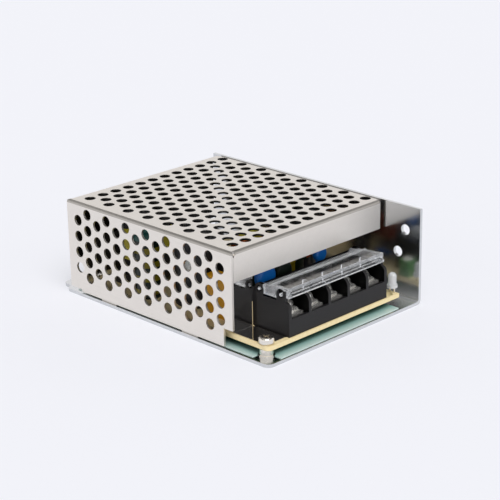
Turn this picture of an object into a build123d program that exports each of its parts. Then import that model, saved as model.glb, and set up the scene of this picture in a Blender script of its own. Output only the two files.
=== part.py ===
from build123d import *
import math
import os

os.makedirs("parts", exist_ok=True)

# An enclosed switching power supply on an L-shaped chassis, in millimetres.
# Origin: middle of the base plate's footprint, on its underside.
# +Y runs from the terminal end to the back, +X to the folded wall, +Z up.

# Overall size
length = 110.0
width = 78.0
height = 36.0

# Chassis: one sheet folded once
chassis_sheet = 1.2
chassis_bend = 0.8
chassis_corner = 2.5
tab_reach = 5.0
tab_width = 9.0
tab_hole_radius = 1.6
tab_hole_margin = 1.7
wall_hole_radius = 1.95
wall_hole_upper = (6.6, 27.0)
wall_hole_lower = (9.9, 18.1)

# Cover: one perforated sheet folded at four edges
cover_sheet = 0.8
cover_bend = 0.5
fold_land = 0.2
cover_setback = 17.1
cover_inset = 0.6
cover_back_gap = 2.7
cover_wall_gap = 0.25
cover_foot_gap = 0.4
front_flange_gap = 2.7
back_flange_height = 25.0
back_flange_slit = 3.4
lip_height = 7.5
corner_relief = 0.7
foot_notch = (4.3, 6.6)
heel_slot = (6.0, 0.9)
tongue_width = 8.0
tongue_gap = 0.2
tongue_foot = 0.2
tongue_shares = (0.25, 0.75)

# Perforation: staggered round holes
hole_radius = 2.03
hole_pitch = 6.075
hole_margin_front = 5.6
hole_margin_back = 5.6
hole_margin_left = 6.1
hole_margin_right = 2.8
hole_margin_top = 6.8
hole_margin_foot = 7.9
count_slack = 1e-6

# Cover screws: countersunk, through the wall into the lip
cover_screw_radius = 1.45
cover_screw_gap = 0.1
cover_screw_margin = 14.0
cover_screw_length = 5.0
cover_screw_drop = 0.6
cover_recess_reach = 1.3

# Circuit board and the film under it
board_thickness = 1.6
board_gap = 2.6
board_front_gap = 3.6
board_back_gap = 2.0
board_left_gap = 2.3
board_right_gap = 6.5
board_corner = 2.0
hole_clearance = 0.25
front_screw_inset = (2.3, 3.2)
back_screw_inset = 4.6
spare_hole_inset = (3.2, 2.2)
film_thickness = 0.25
film_margin = 1.0
film_right_gap = 11.0
film_notch = (1.0, 2.0)
film_hole_gap = 0.3

# Board standoffs and their screws
standoff_radius = 2.4
standoff_bore = 1.3
standoff_foot_radius = 2.7
standoff_foot_height = 0.4
rivet_radius = 1.8
rivet_sink = 0.1
screw_shank_radius = 1.25
screw_head_radius = 2.7
screw_head_height = 1.9
screw_head_round = 0.8
recess_width = 0.7
recess_depth = 0.9
recess_reach = 1.5
lock_washer_height = 0.6
lock_washer_width = 0.75
lock_washer_split = 0.5
fit_gap = 0.1

# Shield sheet: bent once, beside the terminal block
shield_thickness = 0.3
shield_bend = 0.4
shield_height = 19.5
shield_foot = 15.2
shield_setback = 20.5
shield_left_gap = 0.7
shield_block_gap = 0.9
shield_screw_gap = 0.2

# Terminal block, between the corner zone and the trimmer's lane
ways = 5
corner_zone = 10.55
partition = 1.3
block_depth = 17.3
block_setback = 0.6
block_apron = 6.3
block_bay_floor = 5.6
block_front_wall = 1.2
block_rear_wall = 1.2
block_rear_height = 16.6
partition_height = 13.8
partition_nose = 3.2
saddle_height = 12.0
saddle_nose = 2.0
rear_nose_drop = 1.0
ear_radius = 2.0
ear_height = 14.1
ear_root = 2.0
rear_ear_inset = 3.4
ear_spacing = 10.1
front_ear_rise = 0.3
ear_recess_radius = 1.2
ear_recess_depth = 0.5
stud_radius = 0.65
stud_gap = 0.1
snap_slot = 2.1

# Terminal cover: clear lid, heights over the board and places behind the block's front
lid_plate = 1.0
lid_front_top = 17.2
lid_ridge_at = (9.0, 16.5)
lid_ridge_width = 0.5
lid_ridge_height = 0.25
lid_rear_at = (12.1, 16.0)
lid_skirt = 3.3
lid_skirt_wall = 1.3
lid_lean = 0.2
lid_lip_height = 1.1
lid_lip_proud = 0.35
lid_groove_height = 0.4
lid_groove_depth = 0.75
lid_web = 1.0
lid_web_gap = 0.25
lid_web_foot = 1.2
lid_ear_gap = 0.15
lid_saddle_gap = 0.8
lid_merge = 0.3
lid_rib = 0.8
lid_rib_gap = 0.35
lid_rib_drop = 4.2
lid_rib_depth = 4.6
lid_rib_bevel = 1.8

# Terminal screws, clamp washers and contact plates
contact_thickness = 1.0
contact_gap = 0.5
contact_depth = 10.0
clamp_edge = 0.5
clamp_bevel = 0.4
clamp_thickness = 0.9
clamp_screw_radius = 1.6
clamp_head_radius = 2.8
clamp_head_height = 2.2
clamp_head_round = 0.6
clamp_recess_reach = 1.9
clamp_shank = 3.4
clamp_pocket_gap = 0.4
clamp_inset = 7.2

# Trimmer and status lamp, right of the block
trimmer_side = 4.8
trimmer_gap = 0.725
trimmer_bevel = 0.4
trimmer_height = 6.2
trimmer_setback = 9.4
rotor_radius = 1.7
rotor_gap = 0.05
rotor_height = 1.2
rotor_sink = 0.7
rotor_slot = 0.6
lamp_inset = (0.9, 2.5)
lamp_radius = 1.5
lamp_height = 5.6
lamp_flange = 0.4
lamp_flange_height = 1.0
lamp_lift = 2.0
lamp_lead_spacing = 2.0
lead_radius = 0.3

# Stations of the board's parts, as shares of its width and length
film_capacitor_at = (0.146, 0.330)
fuse_at = (0.262, 0.318)
choke_at = (0.545, 0.340)
bulk_capacitor_at = (0.215, 0.500)
bridge_at = (0.560, 0.470)
transformer_at = (0.250, 0.815)
output_choke_at = (0.740, 0.600)
output_capacitors_at = ((0.560, 0.915), (0.745, 0.915))
filter_capacitor_at = (0.860, 0.400)
controller_at = (0.570, 0.660)
optocoupler_at = (0.560, 0.780)
resistors_at = ((0.440, 0.565), (0.660, 0.800), (0.810, 0.300), (0.390, 0.475), (0.300, 0.655))
diodes_at = ((0.440, 0.930), (0.760, 0.480))
# Disc parts stand in a row behind the block, by their share of the board's width. The thermistor
# stands beside the varistor.
varistor_at = 0.302
thermistor_gap = 0.191
disc_capacitor_at = 0.712
disc_gap = 1.6
# The supply capacitor stands just in front of the transformer
supply_capacitor_at = 0.077
supply_capacitor_gap = 0.2

# Film capacitor
film_capacitor_size = (6.0, 11.5, 14.6)
film_capacitor_round = 0.5
# Disc parts: radius, thickness and lift of the disc over the board
varistor_size = (4.4, 3.2, 14.0)
thermistor_size = (4.0, 3.2, 13.5)
disc_capacitor_size = (2.9, 2.6, 15.1)
disc_round = 0.42
disc_lead_share = 0.55
# Round radial parts: radius and height
fuse_size = (3.6, 7.5)
fuse_round = 0.5
bulk_capacitor_size = (9.0, 25.0)
output_capacitor_size = (5.0, 20.0)
supply_capacitor_size = (5.0, 25.0)
filter_capacitor_size = (4.0, 12.0)
can_bead_foot = 0.9
can_bead_width = 1.0
can_bead_depth = 0.35
can_edge = 0.8
can_rim = 0.6
can_lid_sink = 0.3
# Common-mode choke: square core ring, standing, with two wound coils
choke_size = (17.0, 14.0, 16.5)
choke_leg = 4.0
choke_corner = 1.2
choke_flange = 1.0
choke_coil_gap = 0.3
choke_between = 0.8
# Bridge rectifier: flat slab on four leads
bridge_size = (14.5, 3.6, 10.5)
bridge_bevel = 2.0
bridge_lift = 2.5
bridge_lead_radius = 0.4
# Transformer
transformer_base = (22.0, 16.0, 4.2)
transformer_base_recess = 1.6
transformer_base_wall = 2.0
transformer_core = (20.0, 15.5, 21.0)
transformer_leg = 4.2
transformer_yoke = 4.4
transformer_depth = 10.0
transformer_gap = 0.2
winding_margin = 1.2
winding_round = 1.0
tape_thickness = 0.25
tape_height = 8.0
# Output choke: ring core, standing
ring_radius = 7.8
ring_hole = 3.6
ring_width = 6.4
ring_round = 0.5
winding_wall = 0.9
winding_gap = 0.15
winding_arc = 280.0
# Packages
chip_size = (6.4, 9.6, 3.2)
chip_foot = 0.5
chip_bevel = 0.4
chip_leg_pitch = 2.3
chip_leg_reach = 0.4
chip_leg_sheet = 0.3
chip_leg_widths = (1.0, 0.6)
optocoupler_size = (6.4, 4.6, 3.2)
resistor_size = (1.2, 6.4)
diode_size = (1.3, 5.0)
axial_lift = 0.4
axial_reach = 1.8
axial_bend = 0.6
# Wall-mounted packages, their pads and the clamp bar
package_at = (0.560, 0.800)
package_width = 10.0
package_body = 9.0
package_depth = 4.4
package_bevel = 0.4
package_tab = 6.2
package_tab_thickness = 1.3
package_gap = 1.0
package_lead = (0.9, 0.6, 2.54)
package_lead_entry = 1.5
package_lead_jog = 0.567
package_lead_bend = 0.8
package_lead_root = 0.5
package_hole_radius = 1.8
package_hole_margin = 3.0
pad_thickness = 0.3
pad_margin = 0.9
bar_width = 7.0
bar_thickness = 1.0
bar_overhang = 1.5
bar_corner = 1.5
bar_screw_radius = 1.45
bar_screw_setback = 0.2
# Silicone bead on the bulk capacitor's side: its height as a share of the can, and its turn
bead_radius = 2.2
bead_share = 0.65
bead_turn = 209.0

# Planes and edges that several pieces share
front = -length / 2
left = -width / 2
right = width / 2
wall_inner = right - chassis_sheet
base_back = length / 2 - tab_reach
cover_front = front + cover_setback
cover_back = base_back - cover_back_gap
cover_left = left + cover_inset
cover_inner_left = cover_left + cover_sheet
cover_right = wall_inner - cover_wall_gap
cover_under = height - cover_sheet
cover_foot = chassis_sheet + cover_foot_gap
fold = cover_sheet + cover_bend
left_fold_end = cover_left + fold
right_fold_start = cover_right - fold
front_fold_end = cover_front + fold
back_fold_start = cover_back - fold
board_bottom = chassis_sheet + board_gap
board_top = board_bottom + board_thickness
board_front = front + board_front_gap
board_back = cover_back - cover_sheet - board_back_gap
board_left = cover_inner_left + board_left_gap
board_right = wall_inner - board_right_gap
board_width = board_right - board_left
board_length = board_back - board_front
screw_points = (
    (board_left + front_screw_inset[0], board_front + front_screw_inset[1]),
    (board_left + back_screw_inset, board_back - back_screw_inset),
    (board_right - back_screw_inset, board_back - back_screw_inset),
)
spare_hole = (board_right - spare_hole_inset[0], board_front + spare_hole_inset[1])
block_left = board_left + corner_zone
block_right = board_right - trimmer_side - 2 * trimmer_gap
way_pitch = (block_right - block_left - partition) / ways
block_front = board_front + block_setback
block_rear = block_front + block_depth
bay_floor = board_top + block_bay_floor
rear_ear = (block_rear - rear_ear_inset, board_top + ear_height)
front_ear = (rear_ear[0] - ear_spacing, rear_ear[1] + front_ear_rise)
saddle = board_top + saddle_height
front_flange_foot = board_top + lid_front_top + front_flange_gap
contact_width = way_pitch - partition - 2 * contact_gap
contact_top = bay_floor + contact_thickness
clamp_side = contact_width - 2 * clamp_edge
clamp_top = contact_top + clamp_thickness
clamp_y = block_front + clamp_inset
trimmer_x = (block_right + board_right) / 2
trimmer_y = board_front + trimmer_setback
lamp_x = board_right - lamp_inset[0]
lamp_y = board_front + lamp_inset[1]
varistor_x = board_left + varistor_at * board_width
thermistor_x = varistor_x + varistor_size[0] + thermistor_gap + thermistor_size[0]
disc_capacitor_x = board_left + disc_capacitor_at * board_width
tongue_places = [cover_front + share * (cover_back - cover_front) for share in tongue_shares]
cover_screw_places = (cover_front + cover_screw_margin, cover_back - cover_screw_margin)
lip_foot = height - lip_height
cover_screw_z = lip_foot + lip_height / 2 - cover_screw_drop
package_top = lip_foot - package_gap - pad_margin
package_foot = package_top - package_tab - package_body
package_face = wall_inner - pad_thickness - package_depth
package_places = [board_front + share * board_length for share in package_at]
bar_y = sum(package_places) / 2
bar_z = package_foot + package_body / 2


def span(x, y, z):
    """A block between two values along each axis."""
    size = [max(pair) - min(pair) for pair in (x, y, z)]
    middle = [sum(pair) / 2 for pair in (x, y, z)]
    return Pos(*middle) * Box(*size)


def cylinder_x(radius, x, y, z):
    """A round bar along X between two values of x."""
    bar = Cylinder(radius, max(x) - min(x))
    return Pos(sum(x) / 2, y, z) * Rot(0, 90, 0) * bar


def cylinder_y(radius, x, y, z):
    """A round bar along Y between two values of y."""
    bar = Cylinder(radius, max(y) - min(y))
    return Pos(x, sum(y) / 2, z) * Rot(90, 0, 0) * bar


def cylinder_z(radius, x, y, z):
    """A round bar along Z between two values of z."""
    return Pos(x, y, sum(z) / 2) * Cylinder(radius, max(z) - min(z))


def folded_xz(points, bend, sheet, y):
    """A folded strip whose section lies in X and Z, between two values of y."""
    line = FilletPolyline(*points, radius=bend + sheet / 2)
    strip = trace(line, line_width=sheet)
    return extrude(Plane.XZ.offset(-max(y)) * strip, amount=max(y) - min(y))


def folded_yz(points, bend, sheet, x):
    """A folded strip whose section lies in Y and Z, between two values of x."""
    line = FilletPolyline(*points, radius=bend + sheet / 2)
    strip = trace(line, line_width=sheet)
    return extrude(Plane.YZ.offset(min(x)) * strip, amount=max(x) - min(x))


def plate_yz(face, x):
    """A flat outline drawn in Y and Z, as a plate between two values of x."""
    return extrude(Plane.YZ.offset(min(x)) * face, amount=max(x) - min(x))


def board_point(share):
    """A station on the board, from its shares of the width and length."""
    return board_left + share[0] * board_width, board_front + share[1] * board_length


def group(pieces):
    """Like pieces that share one node, as separate solids."""
    return Compound(children=[solid for piece in pieces for solid in piece.solids()])


# Chassis and cover


def chassis():
    """Base plate and right wall in one folded sheet, with a mounting tab."""
    middle = chassis_sheet / 2
    line = ((left, middle), (right - middle, middle), (right - middle, height))
    body = folded_xz(line, chassis_bend, chassis_sheet, (front, base_back))
    corners = body.edges().filter_by(Axis.Z).group_by(Axis.X)[0]
    body = fillet(corners, chassis_corner)
    tab_x = left + chassis_corner
    tab = span((tab_x, tab_x + tab_width), (base_back - 1, length / 2), (0, chassis_sheet))
    tips = tab.edges().filter_by(Axis.Z).group_by(Axis.Y)[-1]
    body += fillet(tips, chassis_corner)
    tab_hole_y = length / 2 - tab_hole_radius - tab_hole_margin
    body -= cylinder_z(tab_hole_radius, tab_x + tab_width / 2, tab_hole_y, (0, chassis_sheet))
    for along, up in (wall_hole_upper, wall_hole_lower):
        body -= cylinder_x(wall_hole_radius, (wall_inner - 1, right + 1), front + along, up)
    for y in tongue_places:
        half = tongue_width / 2 + tongue_gap
        slot_x = (cover_left - tongue_gap, cover_inner_left + tongue_gap)
        body -= span(slot_x, (y - half, y + half), (-1, chassis_sheet + 1))
    for x, y in screw_points:
        body -= cylinder_z(rivet_radius + fit_gap, x, y, (-1, chassis_sheet + 1))
    for y in cover_screw_places:
        body -= countersunk_tool(y, cover_screw_gap)
    body -= cylinder_x(bar_screw_radius + fit_gap, (wall_inner - 1, right + 1), bar_y, bar_z)
    return body


def countersunk_tool(y, gap):
    """A countersunk screw's outline in the wall, wider by a gap."""
    head = cover_screw_radius + chassis_sheet
    cone = Cone(cover_screw_radius + gap, head + gap, chassis_sheet)
    cone = Pos(right - chassis_sheet / 2, y, cover_screw_z) * Rot(0, 90, 0) * cone
    inner = right - cover_screw_length - gap
    return cone + cylinder_x(cover_screw_radius + gap, (inner, right), y, cover_screw_z)


def perforation_top():
    """Punches for the top's staggered holes."""
    row_pitch = hole_pitch * math.sqrt(3) / 2
    first_x = cover_left + hole_margin_left
    last_x = cover_right - hole_margin_right
    columns = int((last_x - first_x) / hole_pitch + count_slack) + 1
    first_y = cover_front + hole_margin_front
    rows = int((cover_back - hole_margin_back - first_y) / row_pitch + count_slack) + 1
    points = []
    for row in range(rows):
        shift = row % 2
        for column in range(columns - shift):
            x = first_x + (column + shift / 2) * hole_pitch
            points.append((x, first_y + row * row_pitch))
    sketch = Sketch() + [Pos(x, y, cover_under - 1) * Circle(hole_radius) for x, y in points]
    return extrude(sketch, amount=cover_sheet + 2)


def perforation_side():
    """Punches for the left side's staggered holes."""
    row_pitch = hole_pitch * math.sqrt(3) / 2
    first_y = cover_front + hole_margin_front
    columns = int((cover_back - hole_margin_back - first_y) / row_pitch + count_slack) + 1
    top_z = height - hole_margin_top
    circles = []
    for column in range(columns):
        y = first_y + column * row_pitch
        start = top_z + (column % 2) * hole_pitch / 2
        count = int((start - hole_margin_foot) / hole_pitch + count_slack) + 1
        for step in range(count):
            circles.append(Pos(y, start - step * hole_pitch) * Circle(hole_radius))
    sketch = Plane.YZ.offset(cover_left - 1) * (Sketch() + circles)
    return extrude(sketch, amount=cover_sheet + 2)


def cover():
    """Top, left side, two flanges and a lip in one folded perforated sheet."""
    half = cover_sheet / 2
    roof = height - half
    side_x = cover_left + half
    side = ((side_x, cover_foot), (side_x, roof), (left_fold_end + fold_land, roof))
    body = folded_xz(side, cover_bend, cover_sheet, (cover_front, cover_back))
    front_y = cover_front + half
    back_y = cover_back - half
    section = (
        (front_y, front_flange_foot),
        (front_y, roof),
        (back_y, roof),
        (back_y, height - back_flange_height),
    )
    body += folded_yz(section, cover_bend, cover_sheet, (left_fold_end, right_fold_start))
    seam = cover_inner_left + fit_gap
    relief = height - fold - corner_relief
    for y, foot in ((front_y, front_flange_foot), (back_y, height - back_flange_height)):
        strip_y = (y - half, y + half)
        body += span((seam, left_fold_end), strip_y, (foot, relief))
    lip_x = cover_right - half
    lip = ((right_fold_start - fold_land, roof), (lip_x, roof), (lip_x, lip_foot))
    lip_y = (front_fold_end + corner_relief, back_fold_start - corner_relief)
    body += folded_xz(lip, cover_bend, cover_sheet, lip_y)
    slit_x = (cover_right - back_flange_slit, right)
    body -= span(slit_x, (back_fold_start, cover_back + 1), (0, height - fold))
    for y in (cover_front, cover_back):
        body -= cylinder_z(corner_relief, left_fold_end, y, (height - fold, height + 1))
    body -= span((left, cover_inner_left + 1), (cover_front - 1, cover_front + foot_notch[0]),
                 (0, cover_foot + foot_notch[1]))
    body -= span((left, cover_inner_left + 1), (cover_back - heel_slot[0], cover_back + 1),
                 (0, cover_foot + heel_slot[1]))
    for y in tongue_places:
        tongue_y = (y - tongue_width / 2, y + tongue_width / 2)
        body += span((cover_left, cover_inner_left), tongue_y, (tongue_foot, cover_foot + 1))
    for y in cover_screw_places:
        body -= countersunk_tool(y, cover_screw_gap)
    body -= perforation_top()
    body -= perforation_side()
    return body


def cover_screws():
    """Two countersunk screws, flush with the wall."""
    screws = []
    for y in cover_screw_places:
        screw = countersunk_tool(y, 0)
        slot = (right - recess_depth, right + 1)
        reach = cover_recess_reach
        half = recess_width / 2
        screw -= span(slot, (y - reach, y + reach), (cover_screw_z - half, cover_screw_z + half))
        screw -= span(slot, (y - half, y + half), (cover_screw_z - reach, cover_screw_z + reach))
        screws.append(screw)
    return group(screws)


# Film, board and what holds it


def insulating_film():
    """Clear sheet on the base plate, notched square at the front screw."""
    x = (cover_inner_left + fit_gap, right - film_right_gap)
    y = (front + film_margin, board_back)
    z = (chassis_sheet, chassis_sheet + film_thickness)
    sheet = span(x, y, z)
    corner_x, corner_y = screw_points[0]
    notch_x = (left, corner_x + film_notch[0])
    notch_y = (front, corner_y + film_notch[1])
    sheet -= span(notch_x, notch_y, (0, board_bottom))
    for screw_x, screw_y in screw_points:
        reach = standoff_foot_radius + film_hole_gap
        sheet -= cylinder_z(reach, screw_x, screw_y, (0, board_bottom))
    return sheet


def circuit_board():
    """Single-sided board with a rounded front corner and screw holes."""
    board = span((board_left, board_right), (board_front, board_back), (board_bottom, board_top))
    corner = board.edges().filter_by(Axis.Z).sort_by_distance((board_left, board_front, board_top))[0]
    board = fillet(corner, board_corner)
    for x, y in (*screw_points, spare_hole):
        reach = screw_shank_radius + hole_clearance
        board -= cylinder_z(reach, x, y, (board_bottom - 1, board_top + 1))
    return board


def standoffs():
    """Round threaded spacers with a wider foot, riveted into the base plate."""
    pieces = []
    for x, y in screw_points:
        post = cylinder_z(standoff_radius, x, y, (chassis_sheet, board_bottom))
        foot_z = (chassis_sheet, chassis_sheet + standoff_foot_height)
        post += cylinder_z(standoff_foot_radius, x, y, foot_z)
        post += cylinder_z(rivet_radius, x, y, (rivet_sink, chassis_sheet))
        post -= cylinder_z(standoff_bore, x, y, (0, board_bottom))
        pieces.append(post)
    return group(pieces)


def cross_recess(x, y, top, reach):
    """The cross-shaped recess of a screw's head."""
    half = recess_width / 2
    z = (top - recess_depth, top + 1)
    bar = span((x - reach, x + reach), (y - half, y + half), z)
    return bar + span((x - half, x + half), (y - reach, y + reach), z)


def pan_head():
    """A pan head with its cross recess, centred, its top towards +Z."""
    head = Cylinder(screw_head_radius, screw_head_height)
    head = fillet(head.edges().group_by(Axis.Z)[-1], screw_head_round)
    return head - cross_recess(0, 0, screw_head_height / 2, recess_reach)


def board_screws():
    """Pan-head screws that clamp the board to its standoffs."""
    pieces = []
    seat = board_top + lock_washer_height
    for x, y in screw_points:
        screw = Pos(x, y, seat + screw_head_height / 2) * pan_head()
        pieces.append(screw + cylinder_z(screw_shank_radius, x, y, (chassis_sheet, seat)))
    return group(pieces)


def lock_washers():
    """Split spring washers under the board screws."""
    pieces = []
    bore = screw_shank_radius + fit_gap
    cut_z = (board_top - 1, board_top + 2)
    for x, y in screw_points:
        ring = cylinder_z(bore + lock_washer_width, x, y, (board_top, board_top + lock_washer_height))
        ring -= cylinder_z(bore, x, y, cut_z)
        half = lock_washer_split / 2
        pieces.append(ring - span((x, x + screw_head_radius), (y - half, y + half), cut_z))
    return group(pieces)


def insulating_sheet():
    """Thin bright sheet bent up from the board between the cover's side and the block."""
    rise_y = front + shield_setback
    middle = board_top + shield_thickness / 2
    line = ((rise_y - shield_foot, middle), (rise_y, middle), (rise_y, board_top + shield_height))
    x = (board_left + shield_left_gap, block_left - shield_block_gap)
    sheet = folded_yz(line, shield_bend, shield_thickness, x)
    corner_x, corner_y = screw_points[0]
    reach = screw_shank_radius + fit_gap + lock_washer_width + shield_screw_gap
    return sheet - cylinder_z(reach, corner_x, corner_y, (board_top - 1, board_top + 1))


# Terminal block, its screws and its lid


def end_wall_face():
    """Side outline of an end wall: apron, rounded nose, saddle and two ears."""
    nose = board_top + partition_height - rear_nose_drop
    wall = Pos((block_front + block_rear) / 2, (board_top + saddle) / 2) * Rectangle(
        block_depth, saddle - board_top)
    wall = fillet(wall.vertices().sort_by_distance((block_front, saddle))[0], saddle_nose)
    for y, z in (rear_ear, front_ear):
        wall += Pos(y, z) * Circle(ear_radius)
        wall += Pos(y, (z + saddle - ear_root) / 2) * Rectangle(2 * ear_radius, z - saddle + ear_root)
    back_y = (rear_ear[0] + block_rear) / 2
    wall += Pos(back_y, (board_top + nose) / 2) * Rectangle(block_rear - rear_ear[0], nose - board_top)
    wall -= Pos(*rear_ear) * Circle(stud_radius + stud_gap)
    wall -= Pos(*front_ear) * Circle(snap_slot / 2)
    slot_y, slot_z = front_ear
    return wall - Pos(slot_y, slot_z + ear_radius / 2) * Rectangle(snap_slot, ear_radius + fit_gap)


def partition_face():
    """Side outline of an inner partition, with its rounded nose."""
    top = board_top + partition_height
    wall = Pos((block_front + block_rear) / 2, (board_top + top) / 2) * Rectangle(
        block_depth, top - board_top)
    return fillet(wall.vertices().sort_by_distance((block_front, top))[0], partition_nose)


def terminal_block():
    """Moulded body: plinth, apron, rear wall, partitions and end walls with ears."""
    x = (block_left, block_right)
    body = span(x, (block_front, block_rear), (board_top, bay_floor))
    body += span(x, (block_front, block_front + block_front_wall), (board_top, board_top + block_apron))
    rear_y = (block_rear - block_rear_wall, block_rear)
    body += span(x, rear_y, (board_top, board_top + block_rear_height))
    inner = partition_face()
    for way in range(1, ways):
        start = block_left + way * way_pitch
        body += plate_yz(inner, (start, start + partition))
    outer = end_wall_face()
    for face, inward in ((block_left, 1), (block_right, -1)):
        body += plate_yz(outer, (face, face + inward * partition))
        for y, z in (rear_ear, front_ear):
            recess_x = (face - inward, face + inward * ear_recess_depth)
            body -= cylinder_x(ear_recess_radius, recess_x, y, z)
    for way in range(ways):
        pocket = (bay_floor - clamp_shank - clamp_pocket_gap, bay_floor + 1)
        body -= cylinder_z(clamp_screw_radius + clamp_pocket_gap, way_middle(way), clamp_y, pocket)
    return body


def way_middle(way):
    """The middle of one way of the block, along X."""
    return block_left + partition / 2 + (way + 0.5) * way_pitch


def contact_plates():
    """Nickel-plated strips on the bay floors."""
    plates = []
    for way in range(ways):
        x = way_middle(way)
        plate_x = (x - contact_width / 2, x + contact_width / 2)
        plate_y = (clamp_y - contact_depth / 2, clamp_y + contact_depth / 2)
        plate = span(plate_x, plate_y, (bay_floor, contact_top))
        plate -= cylinder_z(clamp_screw_radius + fit_gap, x, clamp_y, (0, height))
        plates.append(plate)
    return group(plates)


def clamp_washer(way):
    """Square washer with a bore, pressed on a wire by its screw."""
    x = way_middle(way)
    half = clamp_side / 2
    washer = span((x - half, x + half), (clamp_y - half, clamp_y + half), (contact_top, clamp_top))
    washer = chamfer(washer.edges().filter_by(Axis.X).group_by(Axis.Z)[-1], clamp_bevel)
    return washer - cylinder_z(clamp_screw_radius + fit_gap, x, clamp_y, (0, height))


def terminal_screw(way):
    """Cheese-head terminal screw with a cross recess."""
    x = way_middle(way)
    head = Cylinder(clamp_head_radius, clamp_head_height)
    head = fillet(head.edges().group_by(Axis.Z)[-1], clamp_head_round)
    screw = Pos(x, clamp_y, clamp_top + clamp_head_height / 2) * head
    screw += cylinder_z(clamp_screw_radius, x, clamp_y, (bay_floor - clamp_shank, clamp_top))
    return screw - cross_recess(x, clamp_y, clamp_top + clamp_head_height, clamp_recess_reach)


def lid_section():
    """The lid's section along Y: lipped front skirt, groove, sloping plate with a ridge."""
    top = board_top + lid_front_top
    foot = top - lid_skirt
    lip = foot + lid_lip_height
    face = block_front + lid_lip_proud
    ridge_y, ridge_z = lid_point(lid_ridge_at)
    rear_y, rear_z = lid_point(lid_rear_at)
    return make_face(Polyline(
        (block_front, foot),
        (block_front, lip),
        (block_front + lid_groove_depth, lip),
        (block_front + lid_groove_depth, lip + lid_groove_height),
        (face, lip + lid_groove_height),
        (face + lid_lean, top),
        (ridge_y - 2 * lid_ridge_width, ridge_z),
        (ridge_y - lid_ridge_width, ridge_z + lid_ridge_height),
        (ridge_y, ridge_z + lid_ridge_height),
        (ridge_y, ridge_z - lid_ridge_height),
        (rear_y, rear_z),
        (rear_y, rear_z - lid_plate),
        (ridge_y, ridge_z - lid_plate),
        (block_front + lid_skirt_wall, top - lid_plate),
        (block_front + lid_skirt_wall, foot),
        close=True,
    ))


def lid_web_face():
    """Side outline of an end web, from the skirt to behind the rear ear."""
    top = board_top + lid_front_top
    ridge_y, ridge_z = lid_point(lid_ridge_at)
    rear_y, rear_z = lid_point(lid_rear_at)
    start = block_front + lid_groove_depth + lid_merge
    end = rear_ear[0] + rear_ear_inset / 2
    foot = rear_ear[1] - lid_web_foot
    return make_face(Polyline(
        (start, top - lid_skirt + lid_merge),
        (start, top - lid_merge),
        (ridge_y, ridge_z - lid_ridge_height - lid_merge),
        (rear_y, rear_z - lid_merge),
        (end, rear_ear[1] + lid_web_foot),
        (end, foot),
        (front_ear[0] - ear_radius, foot),
        close=True,
    ))


def lid_point(place):
    """A point of the lid's section, from its distance behind the front and its height."""
    return block_front + place[0], board_top + place[1]


def terminal_cover():
    """Clear lid: lipped skirt, sloping plate, end webs with studs, inner ribs."""
    top = board_top + lid_front_top
    rear_y, rear_z = lid_point(lid_rear_at)
    web_left = block_left + partition + lid_web_gap
    web_right = block_right - partition - lid_web_gap
    lid = plate_yz(lid_section(), (block_left, web_right))
    side_y = (front_ear[0] + ear_radius, rear_y)
    side_z = (saddle + lid_saddle_gap, rear_z - lid_merge)
    lid += span((block_left, web_left + lid_merge), side_y, side_z)
    reach = ear_radius + lid_ear_gap
    for y, z in (rear_ear, front_ear):
        ear_x = (block_left - 1, block_left + partition + fit_gap)
        lid -= cylinder_x(reach, ear_x, y, z)
        lid -= span(ear_x, (y - reach, y + reach), (saddle, z))
    web = lid_web_face()
    lid += plate_yz(web, (web_left, web_left + lid_web))
    lid += plate_yz(web, (web_right - lid_web, web_right))
    for y, z in (rear_ear, front_ear):
        lid += cylinder_x(stud_radius, (block_left, web_left + lid_merge), y, z)
        lid += cylinder_x(stud_radius, (web_right - lid_merge, block_right), y, z)
    rib_front = block_front + lid_groove_depth + lid_merge
    rib_rear = block_front + lid_rib_depth
    rib_foot = top - lid_rib_drop
    rib = make_face(Polyline(
        (rib_front, top - lid_merge),
        (rib_front, rib_foot + lid_rib_bevel),
        (rib_front + lid_rib_bevel, rib_foot),
        (rib_rear, rib_foot),
        (rib_rear, top - lid_plate),
        close=True,
    ))
    for way in range(1, ways):
        start = block_left + way * way_pitch + partition + lid_rib_gap
        lid += plate_yz(rib, (start, start + lid_rib))
    return lid


# Trimmer and status lamp


def trimmer_body():
    """Square housing with a round seat for its rotor."""
    half = trimmer_side / 2
    top = board_top + trimmer_height
    sides = (trimmer_x - half, trimmer_x + half), (trimmer_y - half, trimmer_y + half)
    body = span(*sides, (board_top, top))
    body = chamfer(body.edges().filter_by(Axis.Z), trimmer_bevel)
    return body - cylinder_z(rotor_radius + rotor_gap, trimmer_x, trimmer_y, (top - rotor_sink, top + 1))


def trimmer_rotor():
    """Turned adjuster with a screwdriver slot."""
    seat = board_top + trimmer_height - rotor_sink
    top = seat + rotor_height
    rotor = cylinder_z(rotor_radius, trimmer_x, trimmer_y, (seat, top))
    half = recess_width / 2
    slot_x = (trimmer_x - rotor_radius, trimmer_x + rotor_radius)
    return rotor - span(slot_x, (trimmer_y - half, trimmer_y + half), (top - rotor_slot, top + 1))


def status_lamp():
    """Round-topped lamp on two leads."""
    seat = board_top + lamp_lift
    shoulder = seat + lamp_height - lamp_radius
    lens = cylinder_z(lamp_radius, lamp_x, lamp_y, (seat, shoulder))
    lens += Pos(lamp_x, lamp_y, shoulder) * Sphere(lamp_radius)
    flange_z = (seat, seat + lamp_flange_height)
    return lens + cylinder_z(lamp_radius + lamp_flange, lamp_x, lamp_y, flange_z)


def status_lamp_leads():
    """The lamp's two leads, one behind the other."""
    top = board_top + lamp_lift
    return group([
        cylinder_z(lead_radius, lamp_x, lamp_y + side * lamp_lead_spacing / 2, (board_top, top))
        for side in (-1, 1)
    ])


# Parts on the board


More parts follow.
